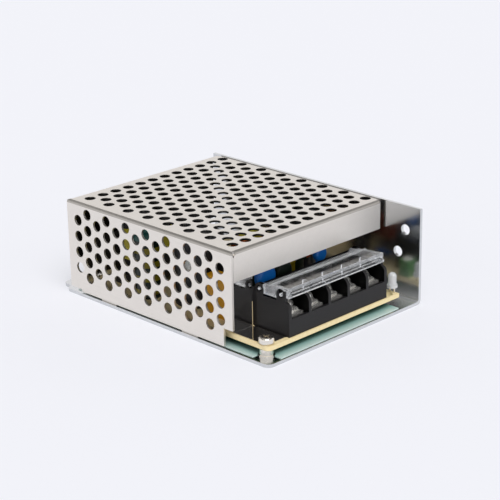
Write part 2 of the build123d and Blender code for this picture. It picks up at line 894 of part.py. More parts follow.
def film_capacitor():
    """Box-type capacitor standing on the board."""
    x, y = board_point(film_capacitor_at)
    sx, sy, sz = film_capacitor_size
    box = Pos(x, y, board_top + sz / 2) * Box(sx, sy, sz)
    edges = box.edges().group_by(Axis.Z)[-1] + box.edges().filter_by(Axis.Z)
    return fillet(edges, film_capacitor_round)


def disc_part(x, size):
    """A dipped disc on two leads behind the block, its face to the front."""
    radius, thickness, lift = size
    y = block_rear + disc_gap + thickness / 2
    middle = board_top + lift
    disc = Cylinder(radius, thickness)
    disc = fillet(disc.edges(), thickness * disc_round)
    piece = Pos(x, y, middle) * Rot(90, 0, 0) * disc
    for side in (-1, 1):
        lead_x = x + side * disc_lead_share * radius
        piece += cylinder_z(lead_radius, lead_x, y, (board_top, middle - radius / 2))
    return piece


def can(place, size):
    """A radial capacitor's can: rolled bead near its foot, rounded rim."""
    x, y = place
    radius, tall = size
    bead = can_bead_foot
    rim = radius - can_edge
    line = Polyline(
        (0, 0),
        (radius, 0),
        (radius, bead),
        (radius - can_bead_depth, bead + can_bead_width / 2),
        (radius, bead + can_bead_width),
        (radius, tall - can_edge),
        (radius - can_edge * 0.4, tall - can_edge * 0.25),
        (rim, tall),
        (rim - can_rim, tall - can_lid_sink),
        (0, tall - can_lid_sink),
        close=True,
    )
    face = Plane.XZ * make_face(line)
    return Pos(x, y, board_top) * revolve(face, axis=Axis.Z)


def fuse():
    """Round radial fuse."""
    x, y = board_point(fuse_at)
    radius, tall = fuse_size
    body = Cylinder(radius, tall)
    body = fillet(body.edges().group_by(Axis.Z)[-1], fuse_round)
    return Pos(x, y, board_top + tall / 2) * body


def choke_core():
    """Square ferrite ring of the common-mode choke, standing."""
    x, y = board_point(choke_at)
    sx, sy, sz = choke_size
    outer = Box(sx, choke_leg, sz)
    inner = Box(sx - 2 * choke_leg, choke_leg + 2, sz - 2 * choke_leg)
    ring = fillet(outer.edges().filter_by(Axis.Y), choke_corner) - inner
    return Pos(x, y, board_top + choke_flange + sz / 2) * ring


def choke_coils():
    """Two wound coils on the ring's upright legs, with moulded flanges."""
    x, y = board_point(choke_at)
    sx, sy, sz = choke_size
    window = sz - 2 * choke_leg
    middle = board_top + choke_flange + sz / 2
    hole = choke_leg + 2 * choke_coil_gap
    coil_width = min(sx - choke_leg - choke_between, sy)
    coil_height = window - 2 * choke_coil_gap
    coils = []
    for side in (-1, 1):
        coil = Cylinder(coil_width / 2, coil_height)
        for end in (-1, 1):
            flange = Box(coil_width, coil_width, choke_flange)
            coil += Pos(0, 0, end * (coil_height - choke_flange) / 2) * flange
        coil -= Box(hole, hole, sz)
        coils.append(Pos(x + side * (sx - choke_leg) / 2, y, middle) * coil)
    return group(coils)


def choke_base():
    """Moulded foot that carries the choke's ring."""
    x, y = board_point(choke_at)
    sx, sy, sz = choke_size
    return Pos(x, y, board_top + choke_flange / 2) * Box(sx, sy, choke_flange)


def bridge_rectifier():
    """Flat four-lead package with one bevelled corner."""
    x, y = board_point(bridge_at)
    sx, sy, sz = bridge_size
    slab = Box(sx, sy, sz)
    slab = chamfer(slab.edges().filter_by(Axis.Y).sort_by_distance((sx, 0, sz))[0], bridge_bevel)
    piece = Pos(x, y, board_top + bridge_lift + sz / 2) * slab
    for step in (-1.5, -0.5, 0.5, 1.5):
        lead_x = x + step * sx / 4
        piece += cylinder_z(bridge_lead_radius, lead_x, y, (board_top, board_top + bridge_lift + 1))
    return piece


def transformer_pieces():
    """Bobbin, core halves, winding and tape of the upright transformer."""
    x, y = board_point(transformer_at)
    bx, by, bz = transformer_base
    cx, cy, cz = transformer_core
    core_foot = board_top + bz
    window = cz - 2 * transformer_yoke
    middle = core_foot + cz / 2
    core = Box(transformer_depth, cy, cz)
    gap_y = (cy - 2 * transformer_leg - transformer_leg) / 2
    for side in (-1, 1):
        slot_y = side * (transformer_leg / 2 + gap_y / 2)
        core -= Pos(0, slot_y, 0) * Box(transformer_depth + 2, gap_y, window)
    core = Pos(x, y, middle) * core
    gap = transformer_gap
    hole = Box(transformer_depth + 2 * gap, transformer_leg + 2 * gap, window + 2)
    winding_y = cy - 2 * transformer_leg - 2 * gap
    winding = Box(cx, winding_y, window - 2 * winding_margin)
    winding = fillet(winding.edges().filter_by(Axis.Z), winding_round) - hole
    winding = Pos(x, y, middle) * winding
    base = Box(bx, by, bz)
    base = fillet(base.edges().filter_by(Axis.Z), winding_round)
    bobbin = Pos(x, y, board_top + bz / 2) * base
    recess = Box(bx - 2 * transformer_base_wall, by + 2, 2 * transformer_base_recess)
    bobbin -= Pos(x, y, board_top) * recess
    tape = Box(transformer_depth + 2 * tape_thickness, cy + 2 * tape_thickness, tape_height)
    tape -= Box(transformer_depth, cy, tape_height + 1)
    tape -= Box(transformer_depth + 4, winding_y + 2 * gap, tape_height + 1)
    return bobbin, core, winding, Pos(x, y, middle) * tape


def output_choke_ring():
    """Powder-iron ring standing on edge."""
    x, y = board_point(output_choke_at)
    ring = Cylinder(ring_radius - winding_wall, ring_width - 2 * winding_wall)
    ring -= Cylinder(ring_hole + winding_wall, ring_width)
    ring = fillet(ring.edges(), ring_round)
    return Pos(x, y, board_top + ring_radius) * Rot(90, 0, 0) * ring


def output_choke_winding():
    """Copper winding round most of the ring, open at its top."""
    x, y = board_point(output_choke_at)
    outer = Pos((ring_radius + ring_hole) / 2, 0) * Rectangle(ring_radius - ring_hole, ring_width)
    outer = fillet(outer.vertices(), winding_round)
    wall = winding_wall - winding_gap
    inner = Pos((ring_radius + ring_hole) / 2, 0) * Rectangle(
        ring_radius - ring_hole - 2 * wall, ring_width - 2 * wall)
    section = Plane.XZ * (outer - inner)
    winding = revolve(section, axis=Axis.Z, revolution_arc=winding_arc)
    turned = Rot(0, 0, 90 + (360 - winding_arc) / 2) * winding
    return Pos(x, y, board_top + ring_radius) * Rot(90, 0, 0) * turned


def dual_inline(station, size):
    """A moulded chip with bent legs along its two long sides."""
    x, y = board_point(station)
    sx, sy, sz = size
    body = Box(sx, sy, sz)
    body = chamfer(body.edges().group_by(Axis.Z)[-1], chip_bevel)
    shoulder = board_top + chip_foot + sz / 2
    piece = Pos(x, y, shoulder) * body
    half_sheet = chip_leg_sheet / 2
    upper, lower = chip_leg_widths
    legs = int(sy / chip_leg_pitch)
    for leg in range(legs):
        leg_y = y + (leg - (legs - 1) / 2) * chip_leg_pitch
        for side in (-1, 1):
            root = x + side * (sx / 2 - chip_leg_reach / 2)
            tip = x + side * (sx / 2 + chip_leg_reach)
            arm_z = (shoulder - half_sheet, shoulder + half_sheet)
            piece += span((root, tip), (leg_y - upper / 2, leg_y + upper / 2), arm_z)
            foot_x = (tip - half_sheet, tip + half_sheet)
            piece += span(foot_x, (leg_y - lower / 2, leg_y + lower / 2), (board_top, shoulder + half_sheet))
    return piece


def axial(station, size):
    """A small axial part lying along Y on two bent leads."""
    x, y = board_point(station)
    radius, long = size
    axis_z = board_top + axial_lift + radius
    body = cylinder_y(radius, x, (y - long / 2, y + long / 2), axis_z)
    body = fillet(body.edges(), radius * 0.3)
    reach = long / 2 + axial_reach
    line = FilletPolyline((y - reach, board_top), (y - reach, axis_z), (y + reach, axis_z),
                          (y + reach, board_top), radius=axial_bend)
    path = Plane.YZ.offset(x) * line
    start = Plane(origin=(x, y - reach, board_top), z_dir=(0, 0, 1))
    return body + sweep(start * Circle(lead_radius), path=path)


# Packages on the right wall


def wall_package(y):
    """Three-lead power package: tab to the wall, leads bent down to the board."""
    half = package_width / 2
    back = wall_inner - pad_thickness
    body_top = package_foot + package_body
    tab = span((back - package_tab_thickness, back), (y - half, y + half), (package_foot, package_top))
    hole_z = package_top - package_hole_margin
    tab -= cylinder_x(package_hole_radius, (package_face, wall_inner), y, hole_z)
    body_x = (package_face, back - package_tab_thickness)
    body = span(body_x, (y - half, y + half), (package_foot, body_top))
    body = chamfer(body.edges().filter_by(Axis.Y).group_by(Axis.X)[0], package_bevel)
    piece = body + tab
    lead_width, lead_depth, lead_pitch = package_lead
    root = (package_face + back) / 2
    entry = board_right - package_lead_entry
    jog = board_top + package_lead_jog * (package_foot - board_top)
    line = FilletPolyline((entry, board_top), (entry, jog), (root, jog),
                          (root, package_foot + package_lead_root), radius=package_lead_bend)
    strip = trace(line, line_width=lead_depth)
    for step in (-1, 0, 1):
        lead_y = y + step * lead_pitch
        lead = Plane.XZ.offset(-lead_y - lead_width / 2) * strip
        piece += extrude(lead, amount=lead_width)
    return piece


def insulator_pads():
    """Thin pads between the packages' tabs and the wall."""
    half = package_width / 2 + pad_margin
    x = (wall_inner - pad_thickness, wall_inner)
    z = (package_foot - pad_margin, package_top + pad_margin)
    return group([span(x, (y - half, y + half), z) for y in package_places])


def clamp_bar():
    """Spring steel bar that presses both packages to the wall."""
    reach = package_width / 2 + bar_overhang
    y = (package_places[0] - reach, package_places[1] + reach)
    z = (bar_z - bar_width / 2, bar_z + bar_width / 2)
    bar = span((package_face - bar_thickness, package_face), y, z)
    bar = fillet(bar.edges().filter_by(Axis.X), bar_corner)
    hole_x = (package_face - bar_thickness - 1, package_face + 1)
    return bar - cylinder_x(bar_screw_radius + fit_gap, hole_x, bar_y, bar_z)


def clamp_bar_screw():
    """Pan-head screw from the bar into the wall."""
    seat = package_face - bar_thickness
    screw = Pos(seat - screw_head_height / 2, bar_y, bar_z) * Rot(0, -90, 0) * pan_head()
    return screw + cylinder_x(bar_screw_radius, (seat, right - bar_screw_setback), bar_y, bar_z)


def supply_capacitor():
    """Can that stands at the board's left edge, in front of the transformer."""
    radius = supply_capacitor_size[0]
    behind = board_point(transformer_at)[1] - transformer_base[1] / 2
    place = (board_left + supply_capacitor_at * board_width, behind - supply_capacitor_gap - radius)
    return can(place, supply_capacitor_size)


def silicone_bead():
    """Bead of sealant on the bulk capacitor's side."""
    x, y = board_point(bulk_capacitor_at)
    radius, tall = bulk_capacitor_size
    turn = math.radians(bead_turn)
    bead_x = x + radius * math.cos(turn)
    bead_y = y + radius * math.sin(turn)
    bead = Pos(bead_x, bead_y, board_top + bead_share * tall) * Sphere(bead_radius)
    return bead - cylinder_z(radius, x, y, (board_top, board_top + tall))


bobbin, core, winding, tape = transformer_pieces()
nodes = {
    "chassis": chassis(),
    "cover": cover(),
    "cover_screws": cover_screws(),
    "insulating_film": insulating_film(),
    "circuit_board": circuit_board(),
    "standoffs": standoffs(),
    "board_screws": board_screws(),
    "lock_washers": lock_washers(),
    "insulating_sheet": insulating_sheet(),
    "terminal_block": terminal_block(),
    "contact_plates": contact_plates(),
    "terminal_cover": terminal_cover(),
    "trimmer_body": trimmer_body(),
    "trimmer_rotor": trimmer_rotor(),
    "status_lamp": status_lamp(),
    "status_lamp_leads": status_lamp_leads(),
    "film_capacitor": film_capacitor(),
    "varistor": disc_part(varistor_x, varistor_size),
    "thermistor": disc_part(thermistor_x, thermistor_size),
    "disc_capacitor": disc_part(disc_capacitor_x, disc_capacitor_size),
    "fuse": fuse(),
    "choke_core": choke_core(),
    "choke_coils": choke_coils(),
    "choke_base": choke_base(),
    "bridge_rectifier": bridge_rectifier(),
    "bulk_capacitor": can(board_point(bulk_capacitor_at), bulk_capacitor_size),
    "supply_capacitor": supply_capacitor(),
    "transformer_bobbin": bobbin,
    "transformer_core": core,
    "transformer_winding": winding,
    "transformer_tape": tape,
    "output_choke_core": output_choke_ring(),
    "output_choke_winding": output_choke_winding(),
    "output_capacitors": group([
        can(board_point(place), output_capacitor_size) for place in output_capacitors_at]),
    "filter_capacitor": can(board_point(filter_capacitor_at), filter_capacitor_size),
    "controller_chip": dual_inline(controller_at, chip_size),
    "optocoupler": dual_inline(optocoupler_at, optocoupler_size),
    "resistors": group([axial(place, resistor_size) for place in resistors_at]),
    "diodes": group([axial(place, diode_size) for place in diodes_at]),
    "switching_transistor": wall_package(package_places[0]),
    "output_diode": wall_package(package_places[1]),
    "insulator_pads": insulator_pads(),
    "clamp_bar": clamp_bar(),
    "clamp_bar_screw": clamp_bar_screw(),
    "silicone_bead": silicone_bead(),
}
for way in range(ways):
    nodes[f"clamp_washer_{way + 1}"] = clamp_washer(way)
    nodes[f"terminal_screw_{way + 1}"] = terminal_screw(way)

for name, piece in nodes.items():
    export_step(piece, f"parts/{name}.step")
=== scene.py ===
import math

import bmesh
import bpy
from mathutils import Euler, Matrix, Vector


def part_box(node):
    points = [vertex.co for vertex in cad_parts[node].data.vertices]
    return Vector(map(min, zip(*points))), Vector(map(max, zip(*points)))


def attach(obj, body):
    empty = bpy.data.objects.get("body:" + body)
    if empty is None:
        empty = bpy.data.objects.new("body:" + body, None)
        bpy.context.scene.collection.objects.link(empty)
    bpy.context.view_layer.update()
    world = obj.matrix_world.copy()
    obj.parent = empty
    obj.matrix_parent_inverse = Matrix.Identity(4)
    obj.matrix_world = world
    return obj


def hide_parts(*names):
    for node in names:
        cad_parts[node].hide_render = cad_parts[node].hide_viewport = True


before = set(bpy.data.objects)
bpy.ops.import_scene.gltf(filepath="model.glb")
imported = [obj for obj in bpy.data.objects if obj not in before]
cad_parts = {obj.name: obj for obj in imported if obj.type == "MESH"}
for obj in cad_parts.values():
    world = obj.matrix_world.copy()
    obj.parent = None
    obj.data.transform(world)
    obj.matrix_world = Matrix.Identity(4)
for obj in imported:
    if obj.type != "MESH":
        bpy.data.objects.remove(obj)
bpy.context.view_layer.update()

# Camera. The photograph looks down on the terminal end from the front left, through a long lens.
# The angles and the place are the real view's, fitted to the case's edges and its grid of holes.
MM = 0.001
view_turn = math.radians(-44.67)
view_tilt = math.radians(19.88)
view_roll = math.radians(-1.0)
view_place = Vector((-373.3, -385.5, 211.5)) * MM
camera_data = bpy.data.cameras.new("camera")
camera_data.sensor_width = 36
camera_data.lens = 113.4
camera_data.clip_start = 0.01
camera_data.clip_end = 50
camera = bpy.data.objects.new("camera", camera_data)
bpy.context.collection.objects.link(camera)
camera.location = view_place
level_aim = Euler((math.pi / 2 - view_tilt, 0, view_turn)).to_matrix()
camera.rotation_euler = (level_aim @ Matrix.Rotation(view_roll, 3, "Z")).to_euler()
bpy.context.scene.camera = camera
bpy.context.scene.view_settings.view_transform = "Standard"


# Studio. A seamless pale sweep under one broad soft lamp, with a bright horizon and a darker ceiling.
# The dim band overhead is what draws the fold lines of the plated steel.
def linear(colour):
    """A six-digit sRGB hex colour as the linear RGBA that a shader takes."""
    shades = [int(colour[place:place + 2], 16) / 255 for place in (0, 2, 4)]
    return [s / 12.92 if s <= 0.04045 else ((s + 0.055) / 1.055) ** 2.4 for s in shades] + [1.0]


def add_node(tree, kind, inputs=None, **settings):
    """Adds a shader node, sets its settings, and sets or links its inputs."""
    node = tree.nodes.new("ShaderNode" + kind)
    for name, value in settings.items():
        setattr(node, name, value)
    for name, value in (inputs or {}).items():
        if isinstance(value, bpy.types.NodeSocket):
            tree.links.new(value, node.inputs[name])
        else:
            node.inputs[name].default_value = value
    return node


backdrop = linear("EFF1F6")
world = bpy.data.worlds.new("studio")
bpy.context.scene.world = world
world.use_nodes = True
sky = world.node_tree
sky.nodes.clear()
direction = add_node(sky, "TexCoord")
height = add_node(sky, "SeparateXYZ", {"Vector": direction.outputs["Generated"]})
bands = add_node(sky, "ValToRGB", {"Fac": height.outputs["Z"]})
steps = bands.color_ramp.elements
steps[0].position, steps[0].color = 0.54, linear("FFFEFF")
steps[1].position, steps[1].color = 0.66, linear("6A6969")
for rise, colour in ((0.84, "6A6969"), (0.95, "E8E7E7")):
    steps.new(rise).color = linear(colour)
ray = add_node(sky, "LightPath")
studio_light = add_node(sky, "Background", {"Color": bands.outputs["Color"], "Strength": 1.0})
plain_back = add_node(sky, "Background", {"Color": backdrop, "Strength": 1.0})
lit_or_seen = add_node(sky, "MixShader", {
    0: ray.outputs["Is Camera Ray"], 1: studio_light.outputs[0], 2: plain_back.outputs[0]})
add_node(sky, "OutputWorld", {"Surface": lit_or_seen.outputs[0]})

lamp_data = bpy.data.lights.new("soft_lamp", "SUN")
lamp_data.energy = 1.9
lamp_data.angle = math.radians(40)
lamp = bpy.data.objects.new("soft_lamp", lamp_data)
lamp.rotation_euler = Euler((math.radians(30), math.radians(-18), 0))
bpy.context.collection.objects.link(lamp)


# Floor. Matte paper that runs on out of sight under the object. It glows to the backdrop's own
# tone, so that it meets the sweep without a line and only the object's shadow marks it.
def new_material(name):
    """An empty node material: returns it with its tree and its one surface shader."""
    material = bpy.data.materials.new(name)
    material.use_nodes = True
    tree = material.node_tree
    tree.nodes.clear()
    shader = add_node(tree, "BsdfPrincipled")
    add_node(tree, "OutputMaterial", {"Surface": shader.outputs[0]})
    return material, tree, shader


floor_reach = 12.0
floor_mesh = bpy.data.meshes.new("floor")
floor_mesh.from_pydata(
    [(x * floor_reach, y * floor_reach, 0) for x, y in ((-1, -1), (1, -1), (1, 1), (-1, 1))],
    [], [(0, 1, 2, 3)])
floor = bpy.data.objects.new("floor", floor_mesh)
bpy.context.collection.objects.link(floor)
paper, tree, shader = new_material("matte_paper")
shader.inputs["Base Color"].default_value = linear("A9A9AE")
shader.inputs["Roughness"].default_value = 0.9
shader.inputs["Specular IOR Level"].default_value = 0.0
shader.inputs["Emission Color"].default_value = backdrop
shader.inputs["Emission Strength"].default_value = 0.535
floor_mesh.materials.append(paper)


# Chassis. One blank of bright zinc-plated steel, 1.2 mm thick, folded once into base and wall.
# The plate is left as rolled, so it mirrors the block and the board with a faint lengthwise grain,
# and is a little duller at the wall's foot.
def paint(material, *nodes):
    """Gives a material to CAD nodes, in all their slots."""
    for name in nodes:
        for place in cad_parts[name].material_slots:
            place.material = material


def grain(tree, across, along, detail, roughness=0.5):
    """Uneven spots of a real size in millimetres, across and along the case: returns their strength."""
    place = add_node(tree, "TexCoord")
    spots = add_node(tree, "Mapping", {
        "Vector": place.outputs["Object"],
        "Scale": (1 / (across * MM), 1 / (along * MM), 1 / (across * MM))})
    noise = add_node(tree, "TexNoise", {
        "Vector": spots.outputs[0], "Scale": 1.0, "Detail": detail, "Roughness": roughness})
    return noise.outputs["Fac"]


mix_a, mix_b, mixed = 6, 7, 2  # where a Mix node keeps its two colours and their mixture
bright_steel, tree, shader = new_material("bright_zinc_plated_steel")
rolling_lines = grain(tree, across=0.25, along=14, detail=3, roughness=0.6)  # coarser than real, to show
smears = grain(tree, across=1.5, along=2.9, detail=2)
tone = add_node(tree, "Mix", {
    0: smears, mix_a: linear("C9CBCD"), mix_b: linear("DADBDC")}, data_type="RGBA")
gloss = add_node(tree, "MapRange", {"Value": smears, "To Min": 0.12, "To Max": 0.24})
ripple = add_node(tree, "Bump", {"Height": rolling_lines, "Strength": 0.06, "Distance": 0.02 * MM})
place = add_node(tree, "TexCoord")
axes = add_node(tree, "SeparateXYZ", {"Vector": place.outputs["Object"]})
near_foot = add_node(tree, "MapRange", {
    "Value": axes.outputs["Z"], "From Min": 1 * MM, "From Max": 13 * MM, "To Min": 0.28, "To Max": 0.0})
near_wall = add_node(tree, "MapRange", {
    "Value": axes.outputs["X"], "From Min": 27 * MM, "From Max": 33 * MM})
dull = add_node(tree, "Math", {
    0: near_foot.outputs["Result"], 1: near_wall.outputs["Result"]}, operation="MULTIPLY")
plated = add_node(tree, "Math", {0: 1.0, 1: dull.outputs[0]}, operation="SUBTRACT")
tree.links.new(tone.outputs[mixed], shader.inputs["Base Color"])
tree.links.new(gloss.outputs["Result"], shader.inputs["Roughness"])
tree.links.new(ripple.outputs["Normal"], shader.inputs["Normal"])
tree.links.new(plated.outputs[0], shader.inputs["Metallic"])
paint(bright_steel, "chassis")

# Insulating film. A milky polyester sheet, a quarter of a millimetre thick, laid on the base
# under the board. Its colour is painted darker and greener the deeper it lies beneath the board,
# as painted shade and a painted reflection of the board's green underside.
milky_film, tree, shader = new_material("milky_polyester_film")
film_left, film_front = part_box("insulating_film")[0][:2]
place = add_node(tree, "TexCoord")
axes = add_node(tree, "SeparateXYZ", {"Vector": place.outputs["Object"]})
from_left = add_node(tree, "Math", {0: axes.outputs["X"], 1: film_left}, operation="SUBTRACT")
from_front = add_node(tree, "Math", {0: axes.outputs["Y"], 1: film_front}, operation="SUBTRACT")
inset = add_node(tree, "Math", {0: from_left.outputs[0], 1: from_front.outputs[0]}, operation="MINIMUM")
# painted shade and painted reflection: pale teal at the film's open edges, dark green deep under the board
painted_shade_depth = add_node(tree, "MapRange", {"Value": inset.outputs[0], "From Min": 0.0, "From Max": 6.5 * MM})
tone = add_node(tree, "ValToRGB", {"Fac": painted_shade_depth.outputs["Result"]})
tone.color_ramp.elements[0].color = linear("D9EFEA")
tone.color_ramp.elements[1].color = linear("2F6E5C")
tone.color_ramp.elements.new(0.45).color = linear("A6CEC6")
tree.links.new(tone.outputs["Color"], shader.inputs["Base Color"])
shader.inputs["Roughness"].default_value = 0.16
shader.inputs["Transmission Weight"].default_value = 0.2
shader.inputs["IOR"].default_value = 1.57
paint(milky_film, "insulating_film")

# Board fixings. Pan-head screws, split washers and riveted spacers, all steel with bright nickel.
# Barrel plating rounds every edge and leaves a warm, slightly soft shine.
nickel, tree, shader = new_material("barrel_plated_nickel")
speck = grain(tree, across=0.1, along=0.1, detail=2)
tone = add_node(tree, "Mix", {
    0: speck, mix_a: linear("DAD5CC"), mix_b: linear("F4EFE6")}, data_type="RGBA")
gloss = add_node(tree, "MapRange", {"Value": speck, "To Min": 0.14, "To Max": 0.26})
tree.links.new(tone.outputs[mixed], shader.inputs["Base Color"])
tree.links.new(gloss.outputs["Result"], shader.inputs["Roughness"])
shader.inputs["Metallic"].default_value = 1.0
paint(nickel, "standoffs", "board_screws", "lock_washers")


# Circuit board. Single-sided paper laminate, 1.6 mm, sawn to size: tan on top and at its edges,
# with green solder resist underneath, which the plate below mirrors, and a patch of its top coloured
# black under the shield sheet.
def region(tree, **spans):
    """One inside all the spans along X, Y and Z, in millimetres from the object's middle, else nought."""
    place = add_node(tree, "TexCoord")
    axes = add_node(tree, "SeparateXYZ", {"Vector": place.outputs["Object"]})
    inside = 1.0
    for axis, (low, high) in spans.items():
        span = add_node(tree, "Math", {
            0: axes.outputs[axis], 1: (low + high) / 2 * MM, 2: (high - low) / 2 * MM}, operation="COMPARE")
        inside = add_node(tree, "Math", {0: inside, 1: span.outputs[0]}, operation="MULTIPLY").outputs[0]
    return inside


beyond = 100  # millimetres, past the case on every side
laminate, tree, shader = new_material("paper_laminate_board")
resist_thickness = 0.05
resist_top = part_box("circuit_board")[0][2] / MM + resist_thickness
above_resist = region(tree, Z=(resist_top, beyond))
# A patch of the board's top coloured black, beside the block's left end.
black_patch = region(tree, X=(-33.6, -24.4), Y=(-49.5, -34.5))
fibre = grain(tree, across=1.43, along=1.43, detail=4)
tan = add_node(tree, "Mix", {
    0: fibre, mix_a: linear("DCC692"), mix_b: linear("F4E4B8")}, data_type="RGBA")
colour = add_node(tree, "Mix", {
    0: above_resist, mix_a: linear("1C5A3C"), mix_b: tan.outputs[mixed]}, data_type="RGBA")
black_patched = add_node(tree, "Mix", {
    0: black_patch, mix_a: colour.outputs[mixed], mix_b: linear("16150F")}, data_type="RGBA")
tree.links.new(black_patched.outputs[mixed], shader.inputs["Base Color"])
shader.inputs["Roughness"].default_value = 0.5
paint(laminate, "circuit_board")

# Shield sheet. Tinned steel foil with a mirror finish, bent once beside the block.
# It mirrors the block's end wall and the lid's web. A light golden strip at its right end, below
# 14.5 mm, is a painted highlight along its cut edge.
tinned_sheet, tree, shader = new_material("tinned_mirror_sheet")
haze = grain(tree, across=0.12, along=0.12, detail=2)
gloss = add_node(tree, "MapRange", {"Value": haze, "To Min": 0.05, "To Max": 0.11})
# painted highlight: the sheet's right end below 14.5 mm is light golden and barely metallic
painted_edge_highlight = region(tree, X=(-25.95, beyond), Y=(-35.5, beyond), Z=(-beyond, 14.5))
colour = add_node(tree, "Mix", {
    0: painted_edge_highlight, mix_a: linear("DCDAD8"), mix_b: linear("E8D2A6")}, data_type="RGBA")
tinned = add_node(tree, "MapRange", {"Value": painted_edge_highlight, "To Min": 1.0, "To Max": 0.2})
tree.links.new(colour.outputs[mixed], shader.inputs["Base Color"])
tree.links.new(gloss.outputs["Result"], shader.inputs["Roughness"])
tree.links.new(tinned.outputs["Result"], shader.inputs["Metallic"])
paint(tinned_sheet, "insulating_sheet")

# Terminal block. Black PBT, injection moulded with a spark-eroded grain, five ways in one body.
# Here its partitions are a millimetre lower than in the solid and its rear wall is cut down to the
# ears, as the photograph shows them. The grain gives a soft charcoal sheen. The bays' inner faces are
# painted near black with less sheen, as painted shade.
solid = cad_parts["terminal_block"]
moulding = bpy.data.objects.new("terminal_block_body", solid.data.copy())
bpy.context.collection.objects.link(moulding)
moulding.matrix_world = solid.matrix_world
rear_wall_front, rear_wall_top = -34.8 * MM, 19.3 * MM
partition_reach, partition_shoulder, partition_drop = 22 * MM, 15.9 * MM, 1.0 * MM
for vertex in moulding.data.vertices:
    x, y, z = vertex.co
    if y > rear_wall_front and z > rear_wall_top:
        vertex.co.z = rear_wall_top
    elif abs(x) < partition_reach and z > partition_shoulder:
        vertex.co.z = z - partition_drop
block_black, tree, shader = new_material("moulded_black_pbt_block")
place = add_node(tree, "TexCoord")
facing = add_node(tree, "SeparateXYZ", {"Vector": place.outputs["Normal"]})
sideways = add_node(tree, "Math", {0: facing.outputs["X"]}, operation="ABSOLUTE")
flank = add_node(tree, "Math", {0: sideways.outputs[0], 1: 0.7}, operation="GREATER_THAN")
behind_front = region(tree, Y=(-47.5, beyond))
between_ends = region(tree, X=(-24.6, 24.8))
inward = add_node(tree, "Math", {0: flank.outputs[0], 1: behind_front}, operation="MAXIMUM")
# painted shade: faces inside the bays, between the end walls, get a near-black colour and little sheen
painted_bay_shade = add_node(tree, "Math", {0: inward.outputs[0], 1: between_ends}, operation="MULTIPLY")
grit = grain(tree, across=0.02, along=0.02, detail=2)
ripple = add_node(tree, "Bump", {"Height": grit, "Strength": 0.25, "Distance": 0.03 * MM})
tone = add_node(tree, "Mix", {
    0: painted_bay_shade.outputs[0], mix_a: linear("1A191A"), mix_b: linear("030303")}, data_type="RGBA")
shine = add_node(tree, "MapRange", {"Value": painted_bay_shade.outputs[0], "To Min": 0.28, "To Max": 0.04})
tree.links.new(tone.outputs[mixed], shader.inputs["Base Color"])
tree.links.new(shine.outputs["Result"], shader.inputs["Specular IOR Level"])
tree.links.new(ripple.outputs["Normal"], shader.inputs["Normal"])
shader.inputs["Roughness"].default_value = 0.42
for slot in moulding.material_slots:
    slot.material = block_black
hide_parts("terminal_block")
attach(moulding, "case")

# Terminal screws, clamp washers and contact plates. Steel and brass stampings, barrel plated with
# tin, so that they stay light even deep in the bays. Each screw carries its washer up and down.
tin, tree, shader = new_material("barrel_plated_tin")
speck = grain(tree, across=0.05, along=0.05, detail=2)
gloss = add_node(tree, "MapRange", {"Value": speck, "To Min": 0.14, "To Max": 0.28})
tree.links.new(gloss.outputs["Result"], shader.inputs["Roughness"])
shader.inputs["Base Color"].default_value = linear("FFFDF8")
shader.inputs["Metallic"].default_value = 0.85
ways = 5
paint(tin, "contact_plates")
for way in range(1, ways + 1):
    paint(tin, f"clamp_washer_{way}", f"terminal_screw_{way}")

# Terminal cover. Clear polycarbonate, moulded in one piece with its studs and ribs, and snapped
# into the block's rear ears. Its skirt, ridge and end webs are frosted, and the strip behind the ridge
# is half frosted. The skirt is left clear in a band at the height of its groove, so that it shows dark
# there as painted shade for the groove's shadow. Only a faint haze lies on the window.
clear_pc, tree, shader = new_material("clear_polycarbonate")
window_haze = 0.08
frosted_parts = {
    # painted shade: the skirt is left clear from 19.85 to 21.35 mm so that the dark bay shows there as the
    # groove's shadow
    "skirt below its painted shade band": (1.0, {"Y": (-beyond, -50.2), "Z": (-beyond, 19.85)}),
    "skirt above its painted shade band": (1.0, {"Y": (-beyond, -50.2), "Z": (21.35, beyond)}),
    "ridge": (1.0, {"Y": (-42.7, -41.3)}),
    "left web": (1.0, {"X": (-beyond, -23.4)}),
    "right web": (1.0, {"X": (22.2, beyond)}),
    "rear strip": (0.45, {"Y": (-41.4, beyond)})}
frosting = window_haze
for share, spans in frosted_parts.values():
    part = add_node(tree, "Math", {0: region(tree, **spans), 1: share}, operation="MULTIPLY")
    frosting = add_node(tree, "Math", {0: frosting, 1: part.outputs[0]}, operation="MAXIMUM").outputs[0]
haze = grain(tree, across=0.15, along=0.15, detail=3)
cloud = add_node(tree, "MapRange", {"Value": haze, "To Min": 0.35, "To Max": 0.75})
frost = add_node(tree, "Math", {0: frosting, 1: cloud.outputs["Result"]}, operation="MULTIPLY")
gloss = add_node(tree, "MapRange", {"Value": frost.outputs[0], "To Min": 0.04, "To Max": 0.35})
clarity = add_node(tree, "MapRange", {"Value": frost.outputs[0], "To Min": 1.0, "To Max": 0.6})
tree.links.new(gloss.outputs["Result"], shader.inputs["Roughness"])
tree.links.new(clarity.outputs["Result"], shader.inputs["Transmission Weight"])
shader.inputs["Base Color"].default_value = linear("F4F6F8")
shader.inputs["IOR"].default_value = 1.3
paint(clear_pc, "terminal_cover")

# Status lamp. A clear epoxy lens, cast round the ends of its two leads.
# The leads are plated like the fixings, and stand the lens off the board.
lens, tree, shader = new_material("clear_epoxy_lens")
shader.inputs["Base Color"].default_value = linear("FAFBFC")
shader.inputs["Roughness"].default_value = 0.12
shader.inputs["Transmission Weight"].default_value = 0.55
shader.inputs["IOR"].default_value = 1.4
paint(lens, "status_lamp")
paint(nickel, "status_lamp_leads")

